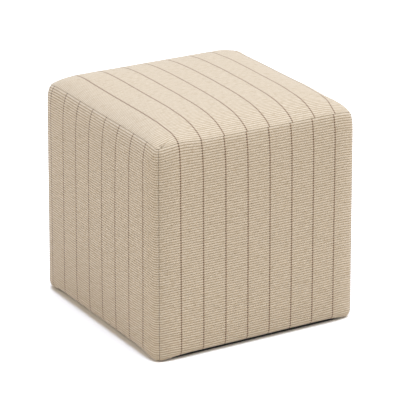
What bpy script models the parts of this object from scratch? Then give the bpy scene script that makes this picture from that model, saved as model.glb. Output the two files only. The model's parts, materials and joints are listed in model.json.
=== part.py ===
"""Cube pouf: a square footstool in ribbed, pin-striped cloth over a soft filling.

A square top panel is sewn to four side panels, which are sewn to each other at the corners and
tucked under at the bottom onto a black covered board. The hem lies lowest at the corners. Each
cloth panel is one solid together with the filling behind it, so the side panels meet in mitres at
the middle of the pouf.

+Z is up. The origin is on the floor at the middle of the underside, and the front faces -Y.
"""
import math
from typing import NamedTuple

import bmesh
import bpy
from mathutils import Matrix, Vector


class Side(NamedTuple):
    """What differs from side to side, in metres."""

    name: str
    top_draw: float         # how far the top seam is drawn in behind the face
    draw_reach: float       # how far under the seam that shows
    shoulder_reach: float   # how quickly the crown's shoulder rounds over
    hem_height: float       # floor to the lowest cloth
    roll_depth: float       # how far in the cloth has rolled there
    roll_height: float      # how far above it the roll begins


class Row(NamedTuple):
    """One row of a side panel's section: shares of its tuck, its roll, its wall and its draw."""

    tuck: float
    roll: float
    wall: float
    draw: float


TOP_SEAM_ROW = Row(tuck=1.0, roll=1.0, wall=1.0, draw=1.0)

# Driving dimensions, in metres
WIDTH = 0.430               # between opposite side faces, half way up
HEIGHT = 0.436              # floor to the crown's middle
SEAM_HEIGHT = 0.407         # floor to the top seam, which lies level all round
UNDERSIDE_HEIGHT = 0.005    # floor to the level cloth on top of the board
SEAM_GAP = 0.0003           # between sewn neighbours

# Quarter turns from the front, anticlockwise seen from above
SIDES = (
    Side("front", 0.0065, 0.022, 0.0277, hem_height=0.0071, roll_depth=0.008, roll_height=0.011),
    Side("right", 0.0156, 0.025, 0.0217, hem_height=0.0102, roll_depth=0.011, roll_height=0.014),
    Side("back", 0.0049, 0.022, 0.0277, hem_height=0.0071, roll_depth=0.008, roll_height=0.011),
    Side("left", 0.0090, 0.017, 0.0280, hem_height=0.0102, roll_depth=0.011, roll_height=0.014),
)
CORNER = Side("corner", 0.0066, 0.009, 0.0247, hem_height=0.0055, roll_depth=0.009,
              roll_height=0.017)

# Corners, seen from above: each half is a slow bend and then a tight one
SLOW_BEND_TURN = math.radians(14)
SLOW_BEND_LENGTH = 0.031
TIGHT_BEND_RADIUS = 0.0183
CORNER_REACH = 0.045        # how far a corner's draw and roll are felt along each side
HEM_REACH = 0.032           # and how far its hem
SEAM_TURN = 0.0046          # the cover sits turned, so each corner seam lies past its corner

# Side panels, seen in section
FACE_BOW = 0.0012           # the filling swells each face by this much at its middle
SETTLE = 0.0014             # the filling has settled: wider at the floor, narrower at the top
TUCK_INSET = 0.024          # how far in the cloth slopes under the pouf before it lies level
CORNER_TUCK_INSET = 0.016
TOP_DRAW_LENGTH = 0.057
SEAM_DIP = 0.0012           # stitches pull the cloth in at each seam
SEAM_DIP_REACH = 0.0025

# Crown of the top panel: a round shoulder that carries on as a shallow dome
SHOULDER_RISE = 0.0236
CROWN_CORNER_SAG = 0.08     # share of the rise missing over a corner
CROWN_CORNER_REACH = 0.048

# Covered board under the filling
BOARD_SIDE_INSET = 0.022     # from the left and right faces
BOARD_FRONT_INSET = 0.0105   # from the front and back faces
BOARD_CORNER_RADIUS = 0.030
BOARD_EDGE_ROUND = 0.0008
BOARD_EDGE_ANGLE = math.radians(60)

# Facets
COLUMNS = 24
BOTTOM_ROLL_ROWS = 7
WALL_ROWS = 4
TOP_DRAW_ROWS = 6
SEAM_CROWDING = 1.8         # above 1, columns and rings gather towards the seams
BOARD_CORNER_STEPS = 6
SHARP_ANGLE = math.radians(35)
TINY = 1e-6                 # smaller than any size here

CLOTH_COLOUR = (0.596, 0.474, 0.347, 1.0)
CLOTH_ROUGHNESS = 0.9
BOARD_COLOUR = (0.012, 0.012, 0.013, 1.0)
BOARD_ROUGHNESS = 0.95

HALF_WIDTH = WIDTH / 2
CORNER_TURN = math.radians(45)
SLOW_BEND_RADIUS = SLOW_BEND_LENGTH / SLOW_BEND_TURN
TIGHT_BEND_LENGTH = TIGHT_BEND_RADIUS * (CORNER_TURN - SLOW_BEND_TURN)
BENDS_LENGTH = SLOW_BEND_LENGTH + TIGHT_BEND_LENGTH
WALL_TOP = SEAM_HEIGHT - TOP_DRAW_LENGTH
CROWN_REACH = HALF_WIDTH - max(side.top_draw for side in SIDES)
DOME_RISE = HEIGHT - SEAM_HEIGHT - SHOULDER_RISE
QUARTER_TURN = Matrix.Rotation(math.radians(90), 2)


def clear_scene():
    """Remove everything that the scene starts with."""
    for item in list(bpy.data.objects):
        bpy.data.objects.remove(item)


def make_collection(name):
    """Return a new collection in the scene."""
    group = bpy.data.collections.new(name)
    bpy.context.scene.collection.children.link(group)
    return group


def make_material(name, colour, roughness):
    """Return a non-metallic Principled material."""
    material = bpy.data.materials.new(name)
    material.use_nodes = True
    shader = material.node_tree.nodes["Principled BSDF"]
    shader.inputs["Base Color"].default_value = colour
    shader.inputs["Roughness"].default_value = roughness
    shader.inputs["Metallic"].default_value = 0.0
    material.diffuse_color = colour
    return material


def bend_offset(slow_turn, turn):
    """Return how far the outline runs along and behind the face over its bends up to these turns."""
    along = SLOW_BEND_RADIUS * math.sin(slow_turn)
    behind = SLOW_BEND_RADIUS * (1 - math.cos(slow_turn))
    along += TIGHT_BEND_RADIUS * (math.sin(turn) - math.sin(slow_turn))
    behind += TIGHT_BEND_RADIUS * (math.cos(slow_turn) - math.cos(turn))
    return along, behind


# The straight stretch of a face ends where its bends just fit before the corner's diagonal
STRAIGHT_LENGTH = HALF_WIDTH - sum(bend_offset(SLOW_BEND_TURN, CORNER_TURN))
HALF_OUTLINE = STRAIGHT_LENGTH + BENDS_LENGTH


def outline_point(travel):
    """Return the plan point and outward normal of the front face, seen from above.

    travel is the signed distance along the outline from the middle of the face.
    """
    way = math.copysign(1.0, travel)
    past_straight = max(abs(travel) - STRAIGHT_LENGTH, 0.0)
    slow_turn = min(past_straight, SLOW_BEND_LENGTH) / SLOW_BEND_RADIUS
    turn = slow_turn + max(past_straight - SLOW_BEND_LENGTH, 0.0) / TIGHT_BEND_RADIUS
    along, behind = bend_offset(slow_turn, turn)
    point = Vector((way * (min(abs(travel), STRAIGHT_LENGTH) + along), behind - HALF_WIDTH))
    normal = Vector((way * math.sin(turn), -math.cos(turn)))
    return point, normal


def corner_blend(travel, here, corner, reach=CORNER_REACH):
    """Return a size that is here along a side and turns softly into corner at its corner seams."""
    distance = max(HALF_OUTLINE - SEAM_TURN - abs(travel), 0.0) / reach
    return here + (corner - here) * math.exp(-distance ** 2)


def seam_dip(distance):
    """Return how far the stitches pull the cloth in at this distance from their seam."""
    return SEAM_DIP * math.exp(-distance / SEAM_DIP_REACH)


def eased(share):
    """Return share, from -1 to 1, with its steps crowded towards both ends."""
    left = max(1 - abs(share), 0.0)
    return math.copysign(1 - left ** SEAM_CROWDING, share)


def section_rows():
    """Return the rows of a side panel's section, from the underside to the top seam."""
    tucked = [Row(0.0, 0.0, 0.0, 0.0)]
    rolled = [Row(1.0, step / BOTTOM_ROLL_ROWS, 0.0, 0.0) for step in range(BOTTOM_ROLL_ROWS + 1)]
    upright = [Row(1.0, 1.0, step / WALL_ROWS, 0.0) for step in range(1, WALL_ROWS + 1)]
    drawn = [Row(1.0, 1.0, 1.0, eased(step / TOP_DRAW_ROWS))
             for step in range(1, TOP_DRAW_ROWS + 1)]
    return tucked + rolled + upright + drawn


def face_bow(travel, height):
    """Return how far the filling swells the face outwards here."""
    across = 1 - (travel / HALF_OUTLINE) ** 2
    middle = (SEAM_HEIGHT + UNDERSIDE_HEIGHT) / 2
    upright = 1 - ((height - middle) / (SEAM_HEIGHT - middle)) ** 2
    return FACE_BOW * across * max(upright, 0.0)


def settled_inset(height):
    """Return how far the settled filling leaves the face behind the outline at this height."""
    return SETTLE * (2 * (height - UNDERSIDE_HEIGHT) / (SEAM_HEIGHT - UNDERSIDE_HEIGHT) - 1)


def top_draw(side, travel, share):
    """Return how far the cloth is drawn in at this share of the way up to the top seam."""
    draw = corner_blend(travel, side.top_draw, CORNER.top_draw)
    reach = corner_blend(travel, side.draw_reach, CORNER.draw_reach)
    left = math.exp(-TOP_DRAW_LENGTH / reach)
    return draw * (math.exp(-TOP_DRAW_LENGTH * (1 - share) / reach) - left) / (1 - left)


def side_point(turns, travel, row, dip):
    """Return a point of the cloth on the side that lies this many quarter turns from the front.

    The point is given as if its side were turned to the front. A travel past the corner goes on
    along the next side.
    """
    if abs(travel) > HALF_OUTLINE:
        way = round(math.copysign(1, travel))
        point = side_point(turns + way, travel - way * 2 * HALF_OUTLINE, row, dip)
        plan = QUARTER_TURN @ point.xy if way > 0 else QUARTER_TURN.inverted() @ point.xy
        return Vector((plan.x, plan.y, point.z))
    side = SIDES[turns % len(SIDES)]
    hem_height = corner_blend(travel, side.hem_height, CORNER.hem_height, HEM_REACH)
    roll_height = corner_blend(travel, side.roll_height, CORNER.roll_height)
    roll_depth = corner_blend(travel, side.roll_depth, CORNER.roll_depth)
    tuck_inset = corner_blend(travel, TUCK_INSET, CORNER_TUCK_INSET)
    roll_turn = math.radians(90) * row.roll
    height = UNDERSIDE_HEIGHT + (hem_height - UNDERSIDE_HEIGHT) * row.tuck
    height += roll_height * (1 - math.cos(roll_turn))
    height += (WALL_TOP - hem_height - roll_height) * row.wall
    height += (TOP_DRAW_LENGTH - SEAM_GAP / 2) * row.draw
    inset = tuck_inset + (roll_depth - tuck_inset) * row.tuck - roll_depth * math.sin(roll_turn)
    inset += top_draw(side, travel, row.draw)
    inset += settled_inset(height) - face_bow(travel, height) + dip
    point, normal = outline_point(travel)
    plan = point - normal * inset
    return Vector((plan.x, plan.y, height))


def close_behind(mesh, place):
    """Extrude the open border of a bmesh, send each new point to place(point), and merge them.

    The new faces may be a little twisted. They are split along their shorter diagonals, so that
    two panels that meet in such a face split it alike and stay clear of each other.
    """
    border = [edge for edge in mesh.edges if edge.is_boundary]
    made = bmesh.ops.extrude_edge_only(mesh, edges=border)
    points = [item for item in made["geom"] if isinstance(item, bmesh.types.BMVert)]
    for point in points:
        point.co = place(point.co)
    bmesh.ops.remove_doubles(mesh, verts=points, dist=TINY)
    behind = {face for point in points if point.is_valid for face in point.link_faces}
    bmesh.ops.triangulate(mesh, faces=list(behind), quad_method="SHORT_EDGE")
    bmesh.ops.recalc_face_normals(mesh, faces=mesh.faces)


def finish_object(name, mesh, material, group):
    """Turn a bmesh into a smooth-shaded object of the group and return it."""
    data = bpy.data.meshes.new(name)
    mesh.to_mesh(data)
    mesh.free()
    data.materials.append(material)
    data.shade_smooth()
    data.set_sharp_from_angle(angle=SHARP_ANGLE)
    item = bpy.data.objects.new(name, data)
    group.objects.link(item)
    return item


def make_side_panel(turns, group):
    """Make one side panel with the filling behind it, and turn it to its own side.

    Its cloth is a grid from corner seam to corner seam. Its two mitred faces run from there to the
    pouf's middle line, where the four side panels meet.
    """
    name = SIDES[turns].name + "_panel"
    rows = section_rows()
    mesh = bmesh.new()
    bmesh.ops.create_grid(mesh, x_segments=COLUMNS, y_segments=len(rows) - 1, size=1.0)
    for vert in mesh.verts:
        across = vert.co.x
        row = rows[round((vert.co.y + 1) / 2 * (len(rows) - 1))]
        from_corner_seam = HALF_OUTLINE * (1 - abs(eased(across)))
        from_top_seam = TOP_DRAW_LENGTH * (1 - row.draw)
        dip = seam_dip(from_top_seam) + seam_dip(from_corner_seam)
        vert.co = side_point(turns, HALF_OUTLINE * eased(across) + SEAM_TURN, row, dip)
        if abs(across) > 1 - TINY:
            back_from_mitre = Vector((vert.co.y, -vert.co.x, 0.0)).normalized()
            vert.co += back_from_mitre * math.copysign(SEAM_GAP / 2, across)
    middle_shift = SEAM_GAP / math.sqrt(2)
    close_behind(mesh, lambda point: Vector((0.0, -middle_shift, point.z)))
    cloth = make_material(name + "_cloth", CLOTH_COLOUR, CLOTH_ROUGHNESS)
    panel = finish_object(name, mesh, cloth, group)
    panel.rotation_euler.z = math.radians(90) * turns
    return panel


def crown_rise(side, depth, travel):
    """Return the crown's height over the top seam.

    depth is the distance in from the seam, and travel places the point along its side.
    """
    reach = corner_blend(travel, side.shoulder_reach, CORNER.shoulder_reach)
    outwards = 1 - depth / CROWN_REACH
    shoulder = SHOULDER_RISE * (1 - math.exp(-depth / reach))
    dome = DOME_RISE * (1 - outwards ** 2)
    from_corner = (HALF_OUTLINE - abs(travel)) / CROWN_CORNER_REACH
    return (shoulder + dome) * (1 - CROWN_CORNER_SAG * outwards * math.exp(-from_corner ** 2))


def crown_point(grid_x, grid_y):
    """Return the crown's point for a place on a square grid that runs from -1 to 1 both ways.

    Each square ring of the grid becomes the top seam's outline, drawn in towards the middle.
    """
    ring = max(abs(grid_x), abs(grid_y))
    if ring < TINY:
        return Vector((0.0, 0.0, HEIGHT))
    along = Vector((grid_x, grid_y))
    turns = 0
    while -along.y < ring - TINY:
        along = QUARTER_TURN.inverted() @ along
        turns += 1
    travel = HALF_OUTLINE * eased(along.x / ring)
    depth = CROWN_REACH * (1 - ring) ** SEAM_CROWDING
    border = side_point(turns, travel, TOP_SEAM_ROW, seam_dip(depth))
    plan = border.xy * (1 - depth / CROWN_REACH)
    for _ in range(turns):
        plan = QUARTER_TURN @ plan
    height = SEAM_HEIGHT + SEAM_GAP / 2 + crown_rise(SIDES[turns], depth, travel)
    return Vector((plan.x, plan.y, height))


def make_top_panel(group):
    """Make the crowned top panel with its filling, flat underneath at the level of its seam."""
    mesh = bmesh.new()
    bmesh.ops.create_grid(mesh, x_segments=COLUMNS, y_segments=COLUMNS, size=1.0)
    for vert in mesh.verts:
        vert.co = crown_point(vert.co.x, vert.co.y)
    close_behind(mesh, lambda point: Vector((0.0, 0.0, point.z)))
    cloth = make_material("top_panel_cloth", CLOTH_COLOUR, CLOTH_ROUGHNESS)
    return finish_object("top_panel", mesh, cloth, group)


def make_base_board(group):
    """Make the black covered board that the pouf stands on."""
    across = WIDTH - 2 * BOARD_SIDE_INSET
    along = WIDTH - 2 * BOARD_FRONT_INSET
    thickness = UNDERSIDE_HEIGHT - SEAM_GAP
    mesh = bmesh.new()
    bmesh.ops.create_cube(mesh, size=1.0)
    bmesh.ops.scale(mesh, vec=(across, along, thickness), verts=mesh.verts)
    bmesh.ops.translate(mesh, vec=(0.0, 0.0, thickness / 2), verts=mesh.verts)
    upright = [edge for edge in mesh.edges
               if abs(edge.verts[0].co.z - edge.verts[1].co.z) > thickness / 2]
    bmesh.ops.bevel(mesh, geom=upright, offset=BOARD_CORNER_RADIUS, segments=BOARD_CORNER_STEPS,
                    profile=0.5, affect="EDGES")
    cover = make_material("base_board_cover", BOARD_COLOUR, BOARD_ROUGHNESS)
    board = finish_object("base_board", mesh, cover, group)
    rounding = board.modifiers.new("rounded_edges", "BEVEL")
    rounding.width = BOARD_EDGE_ROUND
    rounding.segments = 1
    rounding.limit_method = "ANGLE"
    rounding.angle_limit = BOARD_EDGE_ANGLE
    return board


def main():
    """Build the pouf."""
    clear_scene()
    group = make_collection("cube_pouf")
    make_top_panel(group)
    for turns in range(len(SIDES)):
        make_side_panel(turns, group)
    make_base_board(group)


main()
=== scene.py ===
"""Looks of a cube pouf: striped, ribbed cotton cloth over a soft filling, on a black covered board.

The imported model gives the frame: +Z is up, the origin is on the floor under the pouf's middle, and
the front faces -Y. Lengths are in metres unless a name says otherwise.
"""

import json
import logging
import math
from collections.abc import Callable
from dataclasses import dataclass
from enum import Enum
from functools import partial
from typing import Any

import bpy
import numpy as np
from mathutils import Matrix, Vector

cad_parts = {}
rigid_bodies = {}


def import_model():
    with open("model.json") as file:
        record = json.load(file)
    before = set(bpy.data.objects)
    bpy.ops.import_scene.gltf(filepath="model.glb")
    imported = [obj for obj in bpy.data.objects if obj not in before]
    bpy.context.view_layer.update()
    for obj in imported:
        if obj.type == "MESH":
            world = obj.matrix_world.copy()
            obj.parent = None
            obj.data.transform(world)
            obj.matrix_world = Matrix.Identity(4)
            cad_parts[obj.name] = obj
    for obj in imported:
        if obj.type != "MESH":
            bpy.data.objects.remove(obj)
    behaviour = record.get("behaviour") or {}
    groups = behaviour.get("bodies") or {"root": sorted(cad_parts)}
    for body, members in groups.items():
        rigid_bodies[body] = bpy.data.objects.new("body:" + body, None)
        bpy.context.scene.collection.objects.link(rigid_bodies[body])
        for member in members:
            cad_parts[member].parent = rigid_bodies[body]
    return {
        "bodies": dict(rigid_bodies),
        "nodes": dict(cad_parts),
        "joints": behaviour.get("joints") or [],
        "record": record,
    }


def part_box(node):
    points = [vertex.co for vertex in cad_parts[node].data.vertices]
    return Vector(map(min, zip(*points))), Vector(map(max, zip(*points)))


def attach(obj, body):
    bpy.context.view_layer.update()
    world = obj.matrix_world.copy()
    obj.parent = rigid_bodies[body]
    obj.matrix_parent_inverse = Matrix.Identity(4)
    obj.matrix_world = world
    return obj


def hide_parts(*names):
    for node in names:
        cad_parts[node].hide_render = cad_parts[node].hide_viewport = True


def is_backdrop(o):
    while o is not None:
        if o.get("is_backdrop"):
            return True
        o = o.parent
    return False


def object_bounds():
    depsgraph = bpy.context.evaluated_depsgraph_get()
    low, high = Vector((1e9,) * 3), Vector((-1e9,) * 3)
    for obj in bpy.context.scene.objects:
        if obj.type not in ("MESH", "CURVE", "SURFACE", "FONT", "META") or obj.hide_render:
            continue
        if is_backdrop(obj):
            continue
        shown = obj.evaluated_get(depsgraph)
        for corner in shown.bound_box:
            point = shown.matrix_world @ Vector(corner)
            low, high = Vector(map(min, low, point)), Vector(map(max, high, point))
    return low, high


Array = np.ndarray
Settings = dict[str | int, Any]
Links = dict[str | int, bpy.types.NodeSocket | bpy.types.Node]

LOG = logging.getLogger("cube_pouf")
BODY = "root"
WEAVE_MAP = "weave"  # across and along the cloth, in metres: a stripe each 47.5, a rib each 4.65 mm
SEAM_MAP = "seams"  # distances from the seams beside, which the finish reads, and above and below
STRIPE_PITCH = 0.0475
RIB_PITCH = 0.00465
TOP_SEED = 11
SIDE_SEEDS = (21, 31, 41, 51)  # front first, as Side numbers the sides
LAST_STAGE = 4.0  # where a side's cloth ends, level under the pouf: see Body.face
SMOOTH_ANGLE = math.radians(80)
TINY = 1e-6  # smaller than any size here
SOFT_STEP = {"interpolation_type": "SMOOTHSTEP"}
COLOUR_MIX = {"data_type": "RGBA"}


class Side(Enum):
    """The four sides, as quarter turns from the front, anticlockwise seen from above."""

    FRONT = 0
    RIGHT = 1
    BACK = 2
    LEFT = 3

    @property
    def next(self) -> "Side":
        """The side past this one's right-hand corner."""
        return Side((self.value + 1) % len(Side))

    @property
    def node(self) -> str:
        """The name of this side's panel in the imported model."""
        return f"{self.name.lower()}_panel"


@dataclass(frozen=True)
class Grid:
    """The columns and rows of points that a panel's cloth is made of."""

    across: Array  # the columns' places, from -1 to 1
    down: Array  # the rows' places, from 0 at the top or back seam to 1 at the other end


# Numbers


def smooth(share: Array) -> Array:
    """Return an S-curve that runs from 0 to 1 as share does, and is level beyond both ends."""
    inside = np.clip(share, 0.0, 1.0)
    return inside * inside * (3.0 - 2.0 * inside)


def eased(share: Array, power: float) -> Array:
    """Return even steps from -1 to 1 crowded towards both ends, where power is above 1."""
    left = np.clip(1.0 - np.abs(share), 0.0, 1.0)
    return np.copysign(1.0 - left**power, share)


def quarter_turned(points: Array, turns: int) -> Array:
    """Turn points about the upright axis.

    Args:
        points: x and y, and perhaps z, along the last axis.
        turns: how many quarter turns, anticlockwise seen from above.

    Returns:
        The turned points.
    """
    cosine = (1, 0, -1, 0)[turns % 4]
    sine = (0, 1, 0, -1)[turns % 4]
    turned = points.copy()
    turned[..., 0] = cosine * points[..., 0] - sine * points[..., 1]
    turned[..., 1] = sine * points[..., 0] + cosine * points[..., 1]
    return turned


def cells(places: Array, size: float) -> tuple[Array, Array]:
    """Find where places lie on a line of evenly spaced random values.

    Args:
        places: distances along the line, in rising order.
        size: the distance between the random values.

    Returns:
        The number of the value before each place, and the share of the way to the next one.
    """
    count = (places - places[0]) / size
    whole = np.floor(count).astype(int)
    return whole, smooth(count - whole)


def wander(across: Array, down: Array, swell: tuple[float, float], seed: int) -> Array:
    """Make smooth random values between -1 and 1 for each row and column of a cloth grid.

    Args:
        across: the columns' places, in rising order.
        down: the rows' places, in rising order.
        swell: how far apart the random values lie, across and down.
        seed: picks the random values.

    Returns:
        An array with a row for each place down and a column for each place across.
    """
    column, column_share = cells(across, swell[0])
    row, row_share = cells(down, swell[1])
    shape = (row[-1] + 2, column[-1] + 2)
    values = np.random.default_rng(seed).uniform(-1.0, 1.0, shape)
    rows = values[row] + (values[row + 1] - values[row]) * row_share[:, None]
    return rows[:, column] + (rows[:, column + 1] - rows[:, column]) * column_share


def outward_normals(points: Array) -> Array:
    """Return the unit normals out of a grid whose rows run down and columns right, seen from outside."""
    normals = np.cross(np.gradient(points, axis=0), np.gradient(points, axis=1))
    return normals / np.linalg.norm(normals, axis=-1, keepdims=True)


def spread(values: Array, old: Grid, new: Grid) -> Array:
    """Read a coarse grid of vectors off at the places of a finer grid.

    Args:
        values: the vectors, rows first.
        old: the coarse grid.
        new: the fine grid.

    Returns:
        The vectors at the fine grid's places.
    """
    widened = [[np.interp(new.across, old.across, row[:, axis]) for axis in range(3)] for row in values]
    columns = np.array(widened).transpose(1, 2, 0)
    made = [[np.interp(new.down, old.down, column) for column in axis] for axis in columns]
    return np.array(made).transpose(2, 1, 0)


# Meshes


def add_grid(name: str, points: Array) -> bpy.types.Object:
    """Add a grid of four-sided faces with these points.

    Args:
        name: the new object's name.
        points: rows that run down and columns that run right, seen from outside.

    Returns:
        The new object, whose points are in the same order, row by row.
    """
    rows, columns = points.shape[:2]
    bpy.ops.object.select_all(action="DESELECT")
    bpy.ops.mesh.primitive_grid_add(
        x_subdivisions=columns - 1, y_subdivisions=rows - 1, size=1.0, calc_uvs=False
    )
    grid = bpy.context.active_object
    grid.name = name
    grid.data.name = name
    # The grid's own rows run up, and turning the order over also turns its faces over
    grid.data.vertices.foreach_set("co", points.reshape(-1).astype(np.float32))
    grid.data.flip_normals()
    grid.data.update()
    return grid


def add_map(grid: bpy.types.Object, name: str, first: Array, second: Array) -> None:
    """Give a grid a UV map.

    Args:
        grid: an object from add_grid.
        name: the map's name.
        first: the map's first number for each row and column.
        second: the map's second number for each row and column.
    """
    corners = np.empty(len(grid.data.loops), dtype=np.int32)
    grid.data.loops.foreach_get("vertex_index", corners)
    places = np.stack((first, second), axis=-1).reshape(-1, 2)[corners]
    layer = grid.data.uv_layers.new(name=name, do_init=False)
    layer.uv.foreach_set("vector", places.reshape(-1).astype(np.float32))


def close_behind(grid: bpy.types.Object, plan: tuple[float, float], heights: Array) -> None:
    """Close a filled panel behind its cloth: extrude the border and gather it on a middle line.

    Args:
        grid: an object from add_grid.
        plan: x and y of the middle line.
        heights: the height on that line for each row.
    """
    count = len(grid.data.vertices)
    row = grid.data.attributes.new("row", "INT", "POINT")
    row.data.foreach_set("value", np.arange(count, dtype=np.int32) // (count // len(heights)))
    bpy.ops.object.mode_set(mode="EDIT")
    bpy.ops.mesh.select_mode(type="EDGE")
    bpy.ops.mesh.select_all(action="DESELECT")
    bpy.ops.mesh.select_non_manifold(
        use_wire=False, use_multi_face=False, use_non_contiguous=False, use_verts=False
    )
    bpy.ops.mesh.extrude_region_move()
    bpy.ops.object.mode_set(mode="OBJECT")
    rows = grid.data.attributes["row"]
    for point in grid.data.vertices[count:]:
        point.co = (plan[0], plan[1], heights[rows.data[point.index].value])
    bpy.ops.object.mode_set(mode="EDIT")
    bpy.ops.mesh.select_all(action="SELECT")
    bpy.ops.mesh.remove_doubles(threshold=TINY)
    bpy.ops.mesh.normals_make_consistent(inside=False)
    bpy.ops.mesh.select_all(action="DESELECT")
    bpy.ops.object.mode_set(mode="OBJECT")
    grid.data.attributes.remove(grid.data.attributes["row"])


# Shape


@dataclass(frozen=True)
class Outline:
    """The pouf's outline seen from above: each half of a corner bends slowly and then tightly."""

    half_width: float = 0.215
    slow_turn: float = math.radians(14)
    corner_turn: float = math.radians(45)
    slow_length: float = 0.031
    tight_radius: float = 0.0183

    @property
    def slow_radius(self) -> float:
        """The slow bend's radius."""
        return self.slow_length / self.slow_turn

    @property
    def straight_length(self) -> float:
        """How far the face runs straight to each side of its middle."""
        along, behind = self.bend_offset(self.slow_turn, self.corner_turn)
        return self.half_width - float(along) - float(behind)

    @property
    def half_length(self) -> float:
        """The outline's length from a face's middle to the corner's diagonal."""
        bends = self.slow_length + self.tight_radius * (self.corner_turn - self.slow_turn)
        return self.straight_length + bends

    def bend_offset(self, slow_turn: Array, turn: Array) -> tuple[Array, Array]:
        """Follow the bends up to these turns.

        Args:
            slow_turn: how far the slow bend has turned.
            turn: how far both bends have turned.

        Returns:
            How far the outline has run along the face and behind it.
        """
        along = self.slow_radius * np.sin(slow_turn)
        behind = self.slow_radius * (1.0 - np.cos(slow_turn))
        along = along + self.tight_radius * (np.sin(turn) - np.sin(slow_turn))
        behind = behind + self.tight_radius * (np.cos(slow_turn) - np.cos(turn))
        return along, behind

    def place(self, travel: Array) -> tuple[Array, Array]:
        """Find points of the front face's outline.

        Args:
            travel: signed distances along the outline from the face's middle.

        Returns:
            The plan points and their outward normals, with x and y along the last axis.
        """
        past = np.maximum(np.abs(travel) - self.straight_length, 0.0)
        slow = np.minimum(past, self.slow_length) / self.slow_radius
        turn = slow + np.maximum(past - self.slow_length, 0.0) / self.tight_radius
        along, behind = self.bend_offset(slow, turn)
        way = np.copysign(1.0, travel)
        x = way * (np.minimum(np.abs(travel), self.straight_length) + along)
        points = np.stack((x, behind - self.half_width), axis=-1)
        normals = np.stack((way * np.sin(turn), -np.cos(turn)), axis=-1)
        return points, normals


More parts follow.
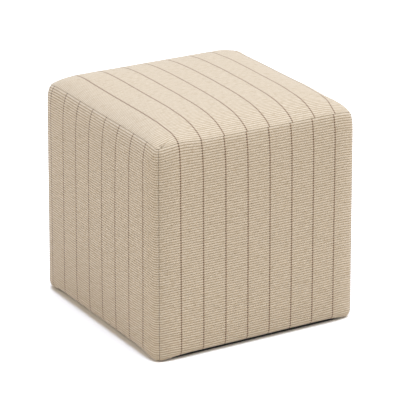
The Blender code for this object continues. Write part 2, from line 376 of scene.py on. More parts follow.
@dataclass(frozen=True)
class Edges:
    """How the cloth runs along the top seam and the hem, at one side or at a corner."""

    draw: float  # how far the top seam is drawn in behind the face
    draw_reach: float  # how far under the seam that shows
    shoulder: float  # how far in from the seam the crown's shoulder reaches
    hem: float  # the floor to the lowest cloth
    roll_depth: float  # how far in the cloth has rolled there
    roll_height: float  # how far above it the roll begins
    tuck: float = 0.024  # how far in the cloth slopes under the pouf before it lies level
    lift: float = 0.0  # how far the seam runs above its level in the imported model


@dataclass(frozen=True)
class Body:
    """The filled body's shape, before its cloth swells and shows its ribs.

    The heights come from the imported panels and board.
    """

    seam_height: float
    underside_height: float
    top_height: float
    front: Edges = Edges(0.0065, 0.022, 0.0277, 0.0071, 0.008, 0.011, lift=-0.0008)
    right: Edges = Edges(0.0156, 0.025, 0.0217, 0.0102, 0.011, 0.014)
    back: Edges = Edges(0.0049, 0.022, 0.0277, 0.0071, 0.008, 0.011)
    left: Edges = Edges(0.009, 0.017, 0.028, 0.0102, 0.011, 0.014, lift=0.0026)
    corner: Edges = Edges(0.0066, 0.009, 0.0247, 0.0012, 0.009, 0.017, tuck=0.016)
    # The seam's lift at the front left, front right, back right and back left corners
    corner_lifts: tuple[float, ...] = (-0.0038, -0.0048, -0.0045, -0.0020)
    outline: Outline = Outline()
    seam_gap: float = 0.0003
    # The sides in section
    settle: float = 0.0014
    draw_length: float = 0.057
    corner_reach: float = 0.045
    hem_reach: float = 0.032
    lift_reach: float = 0.020
    # The crown
    depth: float = 0.1994
    shoulder_rise: float = 0.0236
    crown_sag: float = 0.08
    crown_sag_reach: float = 0.048
    swell: float = 0.0006  # the part of the crown's height that the filling gives it
    # The stitches pull their seams in
    dip_depth: float = 0.0011
    dip_reach: float = 0.0024
    # The filling has settled unevenly round the top: x, y, height and reach of each lump
    lumps: tuple[tuple[float, float, float, float], ...] = (
        (-0.19, 0.20, 0.0023, 0.12),
        (0.0, 0.22, 0.0013, 0.12),
        (0.18, 0.04, 0.0027, 0.11),
        (0.19, -0.085, 0.0028, 0.055),
        (-0.155, -0.21, 0.0036, 0.030),
        (-0.160, -0.15, -0.0022, 0.040),
    )

    def edges(self, side: Side) -> Edges:
        """Return how the cloth runs along this side's top seam and hem."""
        return (self.front, self.right, self.back, self.left)[side.value]

    def near_corner(self, travel: Array, reach: float) -> Array:
        """Return 1 at a side's corners, falling softly to 0 along the side."""
        return np.exp(-(((self.outline.half_length - np.abs(travel)) / reach) ** 2))

    def size(self, side: Side, travel: Array, name: str) -> Array:
        """Find one of the sizes of a side's edges.

        Args:
            side: the side.
            travel: signed distances along the outline from the middle of the face.
            name: the size's name in Edges.

        Returns:
            The size at each place, which turns softly into the corner's size at the corners.
        """
        here = getattr(self.edges(side), name)
        there = getattr(self.corner, name)
        reach = self.hem_reach if name == "hem" else self.corner_reach
        return here + (there - here) * self.near_corner(travel, reach)

    def seam_lift(self, side: Side, travel: Array) -> Array:
        """Find the top seam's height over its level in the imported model.

        Args:
            side: the side.
            travel: signed distances along the outline from the middle of the face.

        Returns:
            The height at each place.
        """
        here = self.edges(side).lift
        lifts = self.corner_lifts
        there = np.where(travel < 0.0, lifts[side.value], lifts[side.next.value])
        return here + (there - here) * self.near_corner(travel, self.lift_reach)

    def dip(self, distance: Array) -> Array:
        """Return how far the stitches pull the cloth in at this distance from their seam."""
        return self.dip_depth * np.exp(-distance / self.dip_reach)

    def face(self, side: Side, travel: Array, stage: Array) -> Array:
        """Find points of one side's cloth, as if that side were turned to the front.

        Args:
            side: the side.
            travel: signed distances along the outline from the middle of the face. Past the
                right-hand corner they go on along the next side.
            stage: 0 at the top seam, 1 where the wall begins, 2 where it ends in the bottom
                roll, 3 at the hem and 4 where the cloth lies level under the pouf.

        Returns:
            The points, with x, y and z along the last axis.
        """
        travel, stage = np.broadcast_arrays(travel, stage)
        half = self.outline.half_length
        here = self._one_face(side, np.minimum(travel, half), stage)
        beyond = self._one_face(side.next, np.maximum(travel - 2.0 * half, -half), stage)
        return np.where((travel > half)[..., None], quarter_turned(beyond, 1), here)

    def plan_normals(self, travel: Array) -> Array:
        """Find the level outward normals of a side.

        Args:
            travel: signed distances along the outline, which may run past the right-hand corner.

        Returns:
            The normals, with x, y and z along the last axis.
        """
        half = self.outline.half_length
        here = self.outline.place(np.minimum(travel, half))[1]
        beyond = quarter_turned(self.outline.place(np.maximum(travel - 2.0 * half, -half))[1], 1)
        normals = np.where((travel > half)[..., None], beyond, here)
        return np.concatenate((normals, np.zeros_like(normals[..., :1])), axis=-1)

    def _one_face(self, side: Side, travel: Array, stage: Array) -> Array:
        """Find points of one side's cloth, up to its corners' diagonals.

        Args:
            side: the side.
            travel: signed distances along the outline from the middle of the face.
            stage: as for face.

        Returns:
            The points, with x, y and z along the last axis.
        """
        drawn = 1.0 - np.clip(stage, 0.0, 1.0)
        wall = 1.0 - np.clip(stage - 1.0, 0.0, 1.0)
        roll_turn = 0.5 * math.pi * (1.0 - np.clip(stage - 2.0, 0.0, 1.0))
        tucked = np.clip(stage - 3.0, 0.0, 1.0)
        hem = self.size(side, travel, "hem")
        roll_depth = self.size(side, travel, "roll_depth")
        roll_height = self.size(side, travel, "roll_height")
        length = self.draw_length + self.seam_lift(side, travel) - self.seam_gap / 2
        height = hem + (self.underside_height - hem) * tucked
        height = height + roll_height * (1.0 - np.cos(roll_turn))
        height = height + (self.seam_height - self.draw_length - hem - roll_height) * wall
        height = height + length * drawn
        reach = self.size(side, travel, "draw_reach")
        end = np.exp(-length / reach)
        draw = (np.exp(-length * (1.0 - drawn) / reach) - end) / (1.0 - end)
        inset = self.size(side, travel, "draw") * draw
        inset = inset + roll_depth * (1.0 - np.sin(roll_turn))
        inset = inset + (self.size(side, travel, "tuck") - roll_depth) * tucked
        level = (height - self.underside_height) / (self.seam_height - self.underside_height)
        inset = inset + self.settle * (2.0 * level - 1.0)
        points, normals = self.outline.place(travel)
        plan = points - normals * inset[..., None]
        return np.concatenate((plan, height[..., None]), axis=-1)

    def settled(self, points: Array) -> Array:
        """Lower or raise the cloth round the top, where the filling has settled.

        Args:
            points: the cloth's points, in the pouf's own frame.

        Returns:
            The moved points.
        """
        share = np.clip((points[..., 2] - self.seam_height) / self.draw_length + 1.0, 0.0, 1.0)
        moved = points.copy()
        for x, y, height, reach in self.lumps:
            away = np.hypot(points[..., 0] - x, points[..., 1] - y)
            moved[..., 2] += height * share * np.exp(-((away / reach) ** 2))
        return moved


@dataclass(frozen=True)
class Filling:
    """The soft filling: it blows each panel's cloth up between its seams, a little unevenly."""

    pressure: float = 4.0
    frames: int = 20
    limit: float = 0.0016  # free cloth would move by 7 to 16 mm, which is scaled down to this
    points: int = 49
    least_push: float = 0.45
    lump_size: float = 0.16
    stiffness: float = 15.0
    shear_stiffness: float = 5.0
    weight: float = 0.3

    def swelling(self, points: Array, seed: int) -> Array:
        """Run a cloth simulation with the border held still.

        Args:
            points: a coarse grid of the cloth's points.
            seed: picks where the filling pushes harder.

        Returns:
            How far each point moves.
        """
        sheet = add_grid("filling", points)
        steps = np.linspace(0.0, 1.0, self.points)
        lumps = wander(steps, steps, (self.lump_size, self.lump_size), seed)
        push = 1.0 - (1.0 - self.least_push) * (0.5 - 0.5 * lumps)
        edge = np.ones(points.shape[:2], dtype=bool)
        edge[1:-1, 1:-1] = False
        held = sheet.vertex_groups.new(name="held")
        held.add(np.flatnonzero(edge).tolist(), 1.0, "REPLACE")
        pushed = sheet.vertex_groups.new(name="pushed")
        for index, weight in enumerate(push.reshape(-1).tolist()):
            pushed.add([index], weight, "REPLACE")
        cloth = sheet.modifiers.new("cloth", "CLOTH")
        settings = cloth.settings
        settings.vertex_group_mass = held.name
        settings.vertex_group_pressure = pushed.name
        settings.use_pressure = True
        settings.uniform_pressure_force = self.pressure
        settings.mass = self.weight
        settings.tension_stiffness = self.stiffness
        settings.compression_stiffness = self.stiffness
        settings.shear_stiffness = self.shear_stiffness
        settings.effector_weights.gravity = 0.0
        cloth.collision_settings.use_collision = False
        cloth.point_cache.frame_start = 1
        cloth.point_cache.frame_end = self.frames
        for frame in range(1, self.frames + 1):
            bpy.context.scene.frame_set(frame)
        bpy.ops.object.modifier_apply(modifier=cloth.name)
        after = np.empty(points.size, dtype=np.float32)
        sheet.data.vertices.foreach_get("co", after)
        bpy.data.objects.remove(sheet)
        bpy.context.scene.frame_set(1)
        moved = after.reshape(points.shape) - points
        most = float(np.linalg.norm(moved, axis=-1).max())
        LOG.info("  the filling would move the cloth by %.1f mm", 1000 * most)
        return moved * min(1.0, self.limit / most)


@dataclass(frozen=True)
class Ribs:
    """The cloth's ribs: round cords with narrow grooves between them, and slubs along them."""

    rows: int = 6
    height: float = 0.001
    roundness: float = 0.8
    unevenness: float = 0.18
    thickness_limits: tuple[float, float] = (0.6, 1.4)
    slub: tuple[float, float] = (0.011, RIB_PITCH)
    drift: float = 0.00035
    drift_swell: tuple[float, float] = (0.055, 0.024)
    seam_fade: float = 0.0016

    def relief(self, across: Array, count: Array, seed: int) -> Array:
        """Find how far the cloth stands out of its mean surface at each row and column.

        Args:
            across: the columns' places in metres.
            count: the rows' places, as a number of ribs.
            seed: picks the slubs.

        Returns:
            Heights of the relief.
        """
        cord = np.abs(np.sin(math.pi * count)) ** self.roundness
        slubs = wander(across, count * RIB_PITCH, self.slub, seed)
        thickness = np.clip(1.0 + self.unevenness * slubs, *self.thickness_limits)
        return self.height * (cord[:, None] * thickness - cord.mean())


@dataclass(frozen=True)
class Crease:
    """A short crease on the top panel, where the cloth bunches at a corner of the seam."""

    start: tuple[float, float]
    end: tuple[float, float]
    depth: float = 0.0024
    width: float = 0.0013

    def relief(self, points: Array) -> Array:
        """Find how far the cloth's points sink into the crease.

        Args:
            points: the cloth's points.

        Returns:
            Depths, highest along the crease.
        """
        start = np.array(self.start)
        way = np.array(self.end) - start
        from_start = points[..., :2] - start
        share = np.clip((from_start @ way) / (way @ way), 0.0, 1.0)
        away = np.linalg.norm(from_start - share[..., None] * way, axis=-1)
        return self.depth * np.exp(-((away / self.width) ** 2))


# Panels


@dataclass(kw_only=True)
class ClothPanel:
    """A filled panel of the pouf: ribbed cloth over filling, with six rows of points to a rib."""

    node: str
    body: Body
    filling: Filling
    finish: bpy.types.Material
    seed: int
    ribs: Ribs = Ribs()
    creases: tuple[Crease, ...] = ()
    columns: int = 121
    crowding: float = 1.8
    fill: float = 0.85

    def length(self) -> float:
        """Return the cloth's length along its stripes, at the panel's middle."""
        raise NotImplementedError

    def half_width(self) -> float:
        """Return half of the cloth's width across its stripes."""
        raise NotImplementedError

    def surface(self, grid: Grid) -> Array:
        """Find points of the smooth surface."""
        raise NotImplementedError

    def stitched(self, points: Array, grid: Grid) -> Array:
        """Pull the cloth in along its seams."""
        raise NotImplementedError

    def stripes(self, points: Array, grid: Grid) -> Array:
        """Return each point's place across the stripes, as a number of stripes."""
        raise NotImplementedError

    def close(self, panel: bpy.types.Object, points: Array) -> None:
        """Close the panel behind its cloth."""
        raise NotImplementedError

    def placed(self, points: Array) -> Array:
        """Return the points where they belong on the pouf."""
        return points

    def from_seam(self, down: Array) -> Array:
        """Return each row's distance from the nearest seam above or below it, in panel lengths."""
        return down

    def seam_distances(self, grid: Grid) -> tuple[Array, Array]:
        """Measure how far the cloth's points are from its seams.

        Args:
            grid: the columns and rows.

        Returns:
            Distances from the seams beside each point, and from those above and below it.
        """
        beside = self.half_width() * (1.0 - np.abs(grid.across))
        return tuple(np.meshgrid(beside, self.length() * self.from_seam(grid.down)))

    def swelled(self, grid: Grid) -> Array:
        """Find points of the surface that the filling has swelled.

        Args:
            grid: the columns and rows.

        Returns:
            The points, as surface gives them.
        """
        points = self.surface(grid)
        count = self.filling.points
        coarse = Grid(np.linspace(-1.0, 1.0, count), np.linspace(0.0, 1.0, count))
        return points + spread(self.filling.swelling(self.surface(coarse), self.seed), coarse, grid)

    def build(self) -> bpy.types.Object:
        """Make the panel, dress it and put it in place of its node.

        Returns:
            The finished piece.
        """
        ribs = self.ribs
        rib_count = round(self.length() / RIB_PITCH)
        across = eased(np.linspace(-1.0, 1.0, self.columns), self.crowding)
        grid = Grid(across, np.linspace(0.0, 1.0, rib_count * ribs.rows + 1))
        count = grid.down * rib_count
        beside, ends = self.seam_distances(grid)
        fade = smooth(beside / ribs.seam_fade) * smooth(ends / ribs.seam_fade)
        points = self.stitched(self.swelled(grid), grid)
        width = across * self.half_width()
        run = np.gradient(points, axis=0)
        run = run / np.linalg.norm(run, axis=-1, keepdims=True)
        drift = wander(width, grid.down * self.length(), ribs.drift_swell, self.seed + 1)
        points = points + run * (ribs.drift * drift * fade)[..., None]
        relief = ribs.relief(width, count, self.seed + 2) * fade
        relief = relief - sum(crease.relief(points) for crease in self.creases)
        points = points + outward_normals(points) * relief[..., None]
        points = self.body.settled(self.placed(points))
        panel = add_grid(self.node.replace("panel", "cloth"), points)
        along = np.broadcast_to((count * RIB_PITCH)[:, None], beside.shape)
        add_map(panel, WEAVE_MAP, self.stripes(points, grid) * STRIPE_PITCH, along)
        add_map(panel, SEAM_MAP, beside, ends)
        self.close(panel, points)
        bpy.ops.object.shade_smooth_by_angle(angle=SMOOTH_ANGLE)
        panel.data.materials.clear()
        panel.data.materials.append(self.finish)
        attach(panel, BODY)
        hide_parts(self.node)
        LOG.info("%s: %d ribs, %d faces", panel.name, rib_count, len(panel.data.polygons))
        return panel


@dataclass(kw_only=True)
class SidePanel(ClothPanel):
    """One of the four sides, from the top seam down to the cloth tucked under the pouf."""

    side: Side
    # Each side's first stripe and the step to the next one, front first
    first_stripes: tuple[float, ...] = (-0.1609, -0.171, -0.1635, 0.1729)
    stripe_steps: tuple[float, ...] = (0.04617, 0.05016, 0.04617, 0.05016)
    seam_turn: float = 0.0046
    section_steps: int = 801
    even_power: float = 6.0

    def half_width(self) -> float:
        """Return half of the cloth's width across its stripes."""
        return self.body.outline.half_length

    def section(self, travel: Array) -> tuple[Array, Array]:
        """Follow the cloth down from the top seam to its end under the pouf.

        Args:
            travel: distances along the outline from the face's middle.

        Returns:
            Points of the cloth, with a column for each travel, and the lengths between their rows.
        """
        stage = np.linspace(0.0, LAST_STAGE, self.section_steps)[:, None]
        points = self.body.face(self.side, travel[None, :], stage)
        return points, np.linalg.norm(np.diff(points, axis=0), axis=-1)

    def length(self) -> float:
        """Return the cloth's length from the top seam to its end under the pouf."""
        return float(self.section(np.zeros(1))[1].sum())

    def travel(self, grid: Grid) -> Array:
        """Return each column's distance along the outline from the face's middle."""
        return self.half_width() * grid.across + self.seam_turn

    def surface(self, grid: Grid) -> Array:
        """Find points of the smooth side.

        The rows lie at even distances down the cloth, so the ribs run level round the corners. Near
        its end they crowd or spread where it is shorter or longer than at the middle.

        Args:
            grid: the columns and rows.

        Returns:
            The points, as if the side were turned to the front.
        """
        section, steps = self.section(self.travel(grid))
        run = np.concatenate((np.zeros((1, len(grid.across))), np.cumsum(steps, axis=0)))
        length = self.length()
        points = np.empty((len(grid.down), len(grid.across), 3))
        for column in range(len(grid.across)):
            spare = length - run[-1, column]
            goal = length * grid.down - spare * grid.down**self.even_power
            for axis in range(3):
                points[:, column, axis] = np.interp(goal, run[:, column], section[:, column, axis])
        return points

    def stitched(self, points: Array, grid: Grid) -> Array:
        """Pull the cloth in along its seams, and leave a gap beside the next panels.

        Args:
            points: the swelled points.
            grid: the columns and rows.

        Returns:
            The moved points.
        """
        beside, below = self.seam_distances(grid)
        dip = self.body.dip(beside) + self.body.dip(below)
        moved = points - self.body.plan_normals(self.travel(grid))[None] * dip[..., None]
        back = np.stack((moved[..., 1], -moved[..., 0]), axis=-1)
        back = back / np.linalg.norm(back, axis=-1, keepdims=True)
        half_gap = self.body.seam_gap / 2
        moved[:, 0, :2] -= back[:, 0] * half_gap
        moved[:, -1, :2] += back[:, -1] * half_gap
        return moved

    def placed(self, points: Array) -> Array:
        """Return the points turned to their own side."""
        return quarter_turned(points, self.side.value)

    def stripes(self, points: Array, grid: Grid) -> Array:
        """Return each point's place across the stripes, as a number of stripes."""
        first, step = self.first_stripes[self.side.value], self.stripe_steps[self.side.value]
        return np.broadcast_to((self.travel(grid) - first) / step, points.shape[:2])

    def close(self, panel: bpy.types.Object, points: Array) -> None:
        """Close the panel behind its cloth, with mitred faces that meet the next panels'."""
        x, y = quarter_turned(np.array((0.0, -self.body.seam_gap / math.sqrt(2))), self.side.value)
        close_behind(panel, (float(x), float(y)), points[..., 2].mean(axis=1))


@dataclass(kw_only=True)
class TopPanel(ClothPanel):
    """The top: a round shoulder inside the seam all round, and a shallow crown over it."""

    corner_start: float = 0.150
    corner_fade: float = 0.060
    border_steps: int = 400
    section_steps: int = 2001
    bow: float = 0.0048  # the last stripe bows out to the right, behind the front seam
    bow_length: float = 0.035
    stripe_places: tuple[float, ...] = (
        -0.161, -0.114, -0.0665, -0.0195, 0.0273, 0.076, 0.123, 0.1665,
    )
    creases: tuple[Crease, ...] = (
        Crease((-0.1930, -0.2020), (-0.1830, -0.2000)),
        Crease((-0.1930, -0.2020), (-0.1945, -0.1975)),
    )

    def half_width(self) -> float:
        """Return half of the cloth's width across its stripes."""
        return (self.seam_place(Side.LEFT) + self.seam_place(Side.RIGHT)) / 2

    def seam_place(self, side: Side) -> float:
        """Return the distance from the middle to the seam on this side."""
        return self.body.outline.half_width - self.body.edges(side).draw - self.body.settle

    def from_seam(self, down: Array) -> Array:
        """Return each row's distance from the nearest seam above or below it, in panel lengths."""
        return np.minimum(down, 1.0 - down)

    def border(self) -> Array:
        """Follow the top seam all round.

        Returns:
            Rows of the seam's angle seen from the middle, in rising order, its distance from the
            middle, its distance measured along its own normal, its lift, its shoulder and how
            near it is to a corner.
        """
        body = self.body
        half = body.outline.half_length
        travel = np.linspace(-half, half, self.border_steps, endpoint=False)
        near = body.near_corner(travel, body.crown_sag_reach)
        rows = []
        for side in Side:
            plan = body.face(side, travel, np.zeros(1))[:, :2]
            support = (plan * body.outline.place(travel)[1]).sum(axis=-1)
            lift = body.seam_lift(side, travel)
            shoulder = body.size(side, travel, "shoulder")
            turned = quarter_turned(plan, side.value)
            angle = np.arctan2(turned[:, 1], turned[:, 0])
            distance = np.hypot(plan[:, 0], plan[:, 1])
            rows.append(np.stack((angle, distance, support, lift, shoulder, near)))
        table = np.concatenate(rows, axis=1)
        return table[:, np.argsort(table[0])]

    def at_border(self, points: Array) -> list[Array]:
        """Read the seam's sizes off in the direction of each point.

        Args:
            points: plan points, with x and y first along the last axis.

        Returns:
            Border's rows after the angle, for each point.
        """
        border = self.border()
        angle = np.arctan2(points[..., 1], points[..., 0])
        return [np.interp(angle, border[0], row, period=2.0 * math.pi) for row in border[1:]]

    def height(self, points: Array) -> Array:
        """Find the crown's height.

        Args:
            points: plan points, with x and y first along the last axis.

        Returns:
            The height over the floor at each point.
        """
        body = self.body
        distance, _, lift, shoulder, near = self.at_border(points)
        outwards = np.minimum(np.hypot(points[..., 0], points[..., 1]) / distance, 1.0)
        depth = body.depth * (1.0 - outwards)
        dome = body.top_height - body.seam_height - body.shoulder_rise - body.swell
        rise = (body.shoulder_rise - lift) * (1.0 - np.exp(-depth / shoulder))
        rise = rise + dome * (1.0 - outwards**2)
        sag = 1.0 - body.crown_sag * outwards * near
        return body.seam_height + body.seam_gap / 2 + lift + rise * sag

    def section(self) -> tuple[Array, Array]:
        """Follow the crown from the back seam to the front seam, through the middle.

        Returns:
            The distance along the cloth, and y, for each of many points.
        """
        y = np.linspace(self.seam_place(Side.BACK), -self.seam_place(Side.FRONT), self.section_steps)
        height = self.height(np.stack((np.full_like(y, TINY), y), axis=-1))
        steps = np.hypot(np.diff(y), np.diff(height))
        return np.concatenate((np.zeros(1), np.cumsum(steps))), y

    def length(self) -> float:
        """Return the cloth's length from the back seam to the front seam."""
        return float(self.section()[0][-1])

    def seam_line(self, side: Side, place: Array) -> Array:
        """Find points of the top seam along one side.

        Args:
            side: the side.
            place: distances from the side's middle. The first and the last meet the corners.

        Returns:
            Plan points of the seam. They keep to the places on the straight stretch.
        """
        end = np.where(place > 0.0, place.max(), -place.min())
        share = smooth((np.abs(place) - self.corner_start) / (end - self.corner_start))
        travel = place + np.copysign((self.body.outline.half_length - end) * share, place)
        line = self.body.face(side, travel, np.zeros(1))[:, :2]
        return quarter_turned(line, side.value)

    def surface(self, grid: Grid) -> Array:
        """Find points of the smooth crown.

        Rows and columns run straight, and bend only near the corners to follow the seam.

        Args:
            grid: the columns and rows.

        Returns:
            The points.
        """
        run, section_y = self.section()
        x = self.half_width() * (grid.across + 1.0) - self.seam_place(Side.LEFT)
        y = np.interp(grid.down * run[-1], run, section_y)
        plan = np.stack(np.meshgrid(x, y), axis=-1)
        front = self.seam_line(Side.FRONT, x) - plan[-1]
        back = self.seam_line(Side.BACK, -x) - plan[0]
        right = self.seam_line(Side.RIGHT, y) - plan[:, -1]
        left = self.seam_line(Side.LEFT, -y) - plan[:, 0]
        ahead = 1.0 - smooth((y - y[-1]) / self.corner_fade)
        behind = 1.0 - smooth((y[0] - y) / self.corner_fade)
        leftward = 1.0 - smooth((x - x[0]) / self.corner_fade)
        rightward = 1.0 - smooth((x[-1] - x) / self.corner_fade)
        for nearness, line in ((ahead, front), (behind, back)):
            plan = plan + nearness[:, None, None] * line[None]
            plan = plan - (nearness[:, None] * leftward[None])[..., None] * line[0]
            plan = plan - (nearness[:, None] * rightward[None])[..., None] * line[-1]
        plan = plan + leftward[None, :, None] * left[:, None]
        plan = plan + rightward[None, :, None] * right[:, None]
        return np.concatenate((plan, self.height(plan)[..., None]), axis=-1)

    def stitched(self, points: Array, grid: Grid) -> Array:
        """Pull the cloth in along its seam.

        Args:
            points: the swelled points.
            grid: the columns and rows.

        Returns:
            The moved points.
        """
        beside, ends = self.seam_distances(grid)
        support = self.at_border(points)[1]
        moved = points.copy()
        moved[..., :2] *= (1.0 - self.body.dip(np.minimum(beside, ends)) / support)[..., None]
        return moved

    def stripes(self, points: Array, grid: Grid) -> Array:
        """Count the stripes from the left.

        Args:
            points: the cloth's points.
            grid: the columns and rows.

        Returns:
            Each point's place across the stripes, as a number of stripes.
        """
        places = np.array(self.stripe_places)
        before = 2 * places[0] - places[1]
        after = 2 * places[-1] - places[-2]
        places = np.concatenate(((before,), places, (after,)))
        x = points[..., 0]
        behind = smooth((points[..., 1] - points[-1, 0, 1]) / self.bow_length)
        x = x - self.bow * behind * smooth((x - places[-3]) / (places[-2] - places[-3]))
        return np.interp(x, places, np.arange(len(places)))

    def close(self, panel: bpy.types.Object, points: Array) -> None:
        """Close the panel underneath, at the level of its seam."""
        level = self.body.seam_height + self.body.seam_gap
        close_behind(panel, (0.0, 0.0), np.full(points.shape[0], level))


# Finishes


def linear(code: str) -> tuple[float, float, float, float]:
    """Turn an sRGB colour into the linear one that Blender's shaders take.

    Args:
        code: six hex digits after a hash sign.

    Returns:
        Linear red, green and blue, and 1 for alpha.
    """
    channels = [int(code[place : place + 2], 16) / 255.0 for place in (1, 3, 5)]
    turned = [c / 12.92 if c <= 0.04045 else ((c + 0.055) / 1.055) ** 2.4 for c in channels]
    return (turned[0], turned[1], turned[2], 1.0)


def add_node(tree: bpy.types.NodeTree, kind: str, settings: Settings, links: Links) -> bpy.types.Node:
    """Add a node to a material.

    Args:
        tree: the material's nodes.
        kind: the node's type, without the word ShaderNode that it starts with.
        settings: values by name. A number or a capital names an input, and the rest properties.
        links: for each input, by name or number, the output that feeds it, or a node whose first
            output in use does.

    Returns:
        The new node.
    """
    node = tree.nodes.new(f"ShaderNode{kind}")
    for name, value in settings.items():
        if isinstance(name, int) or name[0].isupper():
            node.inputs[name].default_value = value
        else:
            setattr(node, name, value)
    for name, source in links.items():
        if isinstance(source, bpy.types.Node):
            source = next(output for output in source.outputs if output.enabled)
        tree.links.new(source, node.inputs[name])
    return node


def new_material(name: str) -> tuple[bpy.types.Material, Callable[..., bpy.types.Node]]:
    """Start a material with no nodes.

    Args:
        name: the material's name.

    Returns:
        The material, and add_node for its nodes.
    """
    material = bpy.data.materials.new(name)
    material.use_nodes = True
    material.node_tree.nodes.clear()
    return material, partial(add_node, material.node_tree)


@dataclass(frozen=True)
class CottonRepp:
    """Cotton repp, woven: thick cords under fine cream yarn give matt ribs, with dark stripes."""

    crest: str = "#AC9B84"
    # The groove colours are the yarn's own, darkened with painted shade for the shade that falls between
    # the ribs
    groove_with_shade: str = "#8A785C"
    slub: str = "#B4A48D"
    fleck: str = "#9B896F"
    stripe_crest: str = "#8A7158"
    # Painted shade: the stripe's grooves are darker than its yarn, as shade falls in them
    stripe_groove_with_shade: str = "#1E1610"
    # Painted shade along the seams beside, where the cloth turns in
    seam: str = "#5F4B38"
    seam_width: float = 0.0012
    seam_shade: float = 0.45
    stripe_width: float = 0.0026
    stripe_edge: float = 0.0005
    groove_share: float = 0.34
    drift: float = 0.0009
    drift_waves: float = 45.0  # to the metre
    slub_length: float = 0.011
    # The noise values where slubs and flecks begin and are full, and their strengths there
    slub_noise: tuple[float, float] = (0.52, 0.74)
    slub_strength: float = 0.7
    fleck_noise: tuple[float, float] = (0.46, 0.28)
    fleck_strength: float = 0.6
    yarn: float = 0.0011  # real yarn is about 0.4 mm, drawn coarser so that a close view shows it
    yarn_height: float = 0.00012
    yarn_strength: float = 0.6
    roughness: float = 0.92
    ior: float = 1.5
    specular: float = 0.3
    sheen: float = 0.2
    sheen_roughness: float = 0.5

    def make(self) -> bpy.types.Material:
        """Make the material.

        Returns:
            A material that reads the panels' two maps.
        """
        material, add = new_material("cotton_repp_woven")
        cloth = add("UVMap", {"uv_map": WEAVE_MAP}, {})
        # Yarns wander by a fraction of a millimetre
        noise = add("TexNoise", {"Scale": self.drift_waves, "Detail": 2.0}, {"Vector": cloth})
        drifted = add("VectorMath", {"operation": "MULTIPLY_ADD", 1: (self.drift, 0.0, 0.0)},
                      {0: noise.outputs["Color"], 2: cloth})
        x, y, _ = add("SeparateXYZ", {}, {0: drifted}).outputs
        stripes = add("Math", {"operation": "DIVIDE", 1: STRIPE_PITCH}, {0: x})
        from_stripe = add("Math", {"operation": "PINGPONG", 1: 0.5}, {0: stripes})
        outer = (self.stripe_width / 2 + self.stripe_edge) / STRIPE_PITCH
        inner = (self.stripe_width / 2 - self.stripe_edge) / STRIPE_PITCH
        stripe = add("MapRange", SOFT_STEP | {"From Min": outer, "From Max": inner},
                     {"Value": from_stripe})
        # The grooves between the ribs take the groove colours: their yarn's colour with painted shade
        ribs = add("Math", {"operation": "DIVIDE", 1: RIB_PITCH}, {0: y})
        from_groove = add("Math", {"operation": "PINGPONG", 1: 0.5}, {0: ribs})
        groove_with_shade = add("MapRange", SOFT_STEP | {"From Min": self.groove_share, "From Max": 0.0},
                     {"Value": from_groove})
        # Slubs are thick places in the yarn, light and one rib high
        along_rib = add("Mapping", {"Scale": (1.0 / self.slub_length, 1.0 / RIB_PITCH, 1.0)},
                        {"Vector": cloth})
        noise = add("TexNoise", {"Scale": 1.0, "Detail": 1.0}, {"Vector": along_rib})
        slubs, flecks = [
            add("MapRange", SOFT_STEP | {"From Min": start, "From Max": end, "To Max": strength},
                {"Value": noise})
            for (start, end), strength in (
                (self.slub_noise, self.slub_strength),
                (self.fleck_noise, self.fleck_strength),
            )
        ]
        light = add("Mix", COLOUR_MIX | {6: linear(self.crest), 7: linear(self.slub)}, {0: slubs})
        flecked = add("Mix", COLOUR_MIX | {7: linear(self.fleck)}, {0: flecks, 6: light})
        plain = add("Mix", COLOUR_MIX | {7: linear(self.groove_with_shade)}, {0: groove_with_shade, 6: flecked})
        dark = add("Mix", COLOUR_MIX | {6: linear(self.stripe_crest), 7: linear(self.stripe_groove_with_shade)},
                   {0: groove_with_shade})
        striped = add("Mix", COLOUR_MIX, {0: stripe, 6: plain, 7: dark})
        # Painted shade: the cloth darkens along the seams beside it, where it turns in and lies in their
        # shade
        seams = add("UVMap", {"uv_map": SEAM_MAP}, {})
        beside = add("SeparateXYZ", {}, {0: seams})
        seam = add("MapRange", SOFT_STEP | {"From Min": self.seam_width, "From Max": 0.0,
                                            "To Max": self.seam_shade}, {"Value": beside})
        shaded = add("Mix", COLOUR_MIX | {7: linear(self.seam)}, {0: seam, 6: striped})
        # Yarns cross the ribs side by side
        turns = add("Math", {"operation": "MULTIPLY", 1: 2.0 * math.pi / self.yarn}, {0: x})
        yarns = add("Math", {"operation": "SINE"}, {0: turns})
        fuzz = add("TexNoise", {"Scale": 1.0 / (2 * self.yarn), "Detail": 3.0}, {"Vector": cloth})
        relief = add("Math", {"operation": "MULTIPLY_ADD", 1: 0.5}, {0: yarns, 2: fuzz})
        bump = add("Bump", {"Strength": self.yarn_strength, "Distance": self.yarn_height},
                   {"Height": relief})
        shader = add("BsdfPrincipled", {
            "Roughness": self.roughness, "IOR": self.ior, "Specular IOR Level": self.specular,
            "Sheen Weight": self.sheen, "Sheen Roughness": self.sheen_roughness,
        }, {"Base Color": shaded, "Normal": bump})
        add("OutputMaterial", {}, {"Surface": shader})
        return material


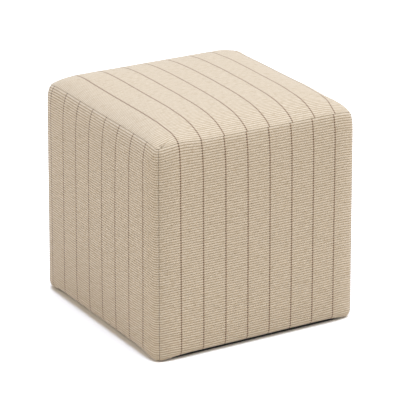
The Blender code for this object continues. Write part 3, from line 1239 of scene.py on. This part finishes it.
@dataclass(frozen=True)
class SpunbondCover:
    """Polypropylene non-woven, spunbond: black, matt, pressed with a grid of dots whose sheen is painted
    as a slightly lighter colour.
    """

    colour: str = "#1B1A1A"
    dot_sheen: str = "#262525"
    dot_pitch: float = 0.0016
    dot_share: float = 0.28
    dot_softness: float = 0.08
    dot_depth: float = 0.0001
    dot_strength: float = 0.7
    fibre: float = 0.0008
    roughness: float = 0.85
    ior: float = 1.49

    def make(self) -> bpy.types.Material:
        """Make the material.

        Returns:
            A material in object coordinates.
        """
        material, add = new_material("polypropylene_spunbond")
        place = add("TexCoord", {}, {}).outputs["Object"]
        grid = {"feature": "F1", "Scale": 1.0 / self.dot_pitch, "Randomness": 0.0}
        dots = add("TexVoronoi", grid, {"Vector": place})
        outer = self.dot_share + self.dot_softness
        inner = self.dot_share - self.dot_softness
        dot = add("MapRange", SOFT_STEP | {"From Min": outer, "From Max": inner},
                  {"Value": dots.outputs["Distance"]})
        fibres = add("TexNoise", {"Scale": 1.0 / self.fibre, "Detail": 4.0}, {"Vector": place})
        # Painted sheen: the pressed dots are coloured a little lighter than the black cover
        colours = COLOUR_MIX | {6: linear(self.colour), 7: linear(self.dot_sheen)}
        colour = add("Mix", colours, {0: dot})
        relief = add("Math", {"operation": "MULTIPLY_ADD", 1: -1.0}, {0: dot, 2: fibres})
        bump = add("Bump", {"Strength": self.dot_strength, "Distance": self.dot_depth},
                   {"Height": relief})
        shader = add("BsdfPrincipled", {"Roughness": self.roughness, "IOR": self.ior},
                     {"Base Color": colour, "Normal": bump})
        add("OutputMaterial", {}, {"Surface": shader})
        return material


@dataclass(frozen=True)
class StudioPaper:
    """Seamless background paper: plain, matt and nearly white."""

    colour: str = "#F0EBE4"
    roughness: float = 1.0
    specular: float = 0.0

    def make(self) -> bpy.types.Material:
        """Make the material.

        Returns:
            A plain material for the floor.
        """
        material, add = new_material("studio_paper")
        look = {"Base Color": linear(self.colour), "Roughness": self.roughness,
                "Specular IOR Level": self.specular}
        shader = add("BsdfPrincipled", look, {})
        add("OutputMaterial", {}, {"Surface": shader})
        return material


# Board and studio


@dataclass(frozen=True)
class BaseBoard:
    """The black covered board that the filling stands on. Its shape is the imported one."""

    finish: bpy.types.Material
    node: str = "base_board"

    def dress(self, nodes: dict[str, bpy.types.Object]) -> None:
        """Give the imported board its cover.

        Args:
            nodes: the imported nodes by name.
        """
        for slot in nodes[self.node].material_slots:
            slot.material = self.finish
        LOG.info("%s: covered in %s", self.node, self.finish.name)


@dataclass(frozen=True)
class Lamp:
    """A far, soft lamp."""

    strength: float
    spread_degrees: float
    towards: tuple[float, float, float]
    colour: str
    distance: float = 3.0  # the lamp's place only: a sun lights alike from any distance

    def add(self, name: str) -> None:
        """Add the lamp.

        Args:
            name: the lamp's name.
        """
        light = bpy.data.lights.new(name, "SUN")
        light.energy = self.strength
        light.angle = math.radians(self.spread_degrees)
        light.color = linear(self.colour)[:3]
        lamp = bpy.data.objects.new(name, light)
        lamp.location = Vector(self.towards).normalized() * self.distance
        lamp.rotation_mode = "QUATERNION"
        lamp.rotation_quaternion = Vector(self.towards).to_track_quat("Z", "Y")
        bpy.context.scene.collection.objects.link(lamp)


@dataclass(frozen=True)
class Studio:
    """A nearly white floor, soft light from above and all round, and the camera."""

    azimuth: float = math.radians(-30.4)
    elevation: float = math.radians(20.866)
    distance: float = 4.9917
    target_height: float = 0.2134
    lens_mm: float = 241.0
    sensor_mm: float = 36.0
    shift: tuple[float, float] = (0.0047, -0.0114)
    view_limits: tuple[float, float] = (0.1, 60.0)
    floor_radius: float = 9.0
    floor_drop: float = 0.0002
    floor_corners: int = 96
    sky: float = 0.61
    overhead: Lamp = Lamp(5.4, 50, (0.08, -0.04, 1.0), "#D2E3FF")
    right: Lamp = Lamp(1.6, 30, (1.0, -0.5, 0.8), "#FFF9EE")
    left: Lamp = Lamp(0.8, 30, (-1.0, 0.3, 0.8), "#FFF0DA")

    def build(self) -> None:
        """Set the floor, the lights and the camera up."""
        self.add_floor()
        self.add_lights()
        self.add_camera()
        bpy.context.scene.view_settings.view_transform = "Standard"

    def add_floor(self) -> None:
        """Add a wide round floor just under the pouf."""
        bpy.ops.object.select_all(action="DESELECT")
        bpy.ops.mesh.primitive_circle_add(
            vertices=self.floor_corners, radius=self.floor_radius, fill_type="NGON",
            location=(0.0, 0.0, -self.floor_drop),
        )
        floor = bpy.context.active_object
        floor.name = "floor"
        floor.data.materials.append(StudioPaper().make())
        floor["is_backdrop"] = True
        LOG.info("floor: %.0f m across", 2 * self.floor_radius)

    def add_lights(self) -> None:
        """Light the pouf from all round and, more, from above."""
        world = bpy.data.worlds.new("studio")
        bpy.context.scene.world = world
        world.use_nodes = True
        sky = world.node_tree.nodes["Background"]
        sky.inputs["Color"].default_value = (1.0, 1.0, 1.0, 1.0)
        sky.inputs["Strength"].default_value = self.sky
        self.overhead.add("overhead")
        self.right.add("right")
        self.left.add("left")

    def add_camera(self) -> None:
        """Set the camera where the photograph was taken from."""
        level = math.cos(self.elevation)
        back = Vector(
            (math.sin(self.azimuth) * level, -math.cos(self.azimuth) * level, math.sin(self.elevation))
        )
        data = bpy.data.cameras.new("camera")
        data.sensor_width = self.sensor_mm
        data.lens = self.lens_mm
        data.shift_x, data.shift_y = self.shift
        data.clip_start, data.clip_end = self.view_limits
        camera = bpy.data.objects.new("camera", data)
        camera.location = Vector((0.0, 0.0, self.target_height)) + back * self.distance
        camera.rotation_mode = "QUATERNION"
        camera.rotation_quaternion = (-back).to_track_quat("-Z", "Y")
        bpy.context.scene.collection.objects.link(camera)
        bpy.context.scene.camera = camera


def main() -> None:
    """Build the pouf, dress it and light it."""
    logging.basicConfig(level=logging.INFO, format="%(message)s")
    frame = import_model()
    packed_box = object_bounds()
    body = Body(
        seam_height=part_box("top_panel")[0].z,
        underside_height=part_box("base_board")[1].z + Body.seam_gap,
        top_height=packed_box[1].z,
    )
    shared = {"body": body, "filling": Filling(), "finish": CottonRepp().make()}
    TopPanel(node="top_panel", seed=TOP_SEED, ribs=Ribs(height=0.0002), **shared).build()
    for side in Side:
        SidePanel(node=side.node, seed=SIDE_SEEDS[side.value], side=side, **shared).build()
    BaseBoard(SpunbondCover().make()).dress(frame["nodes"])
    Studio().build()


if __name__ == "__main__":
    main()
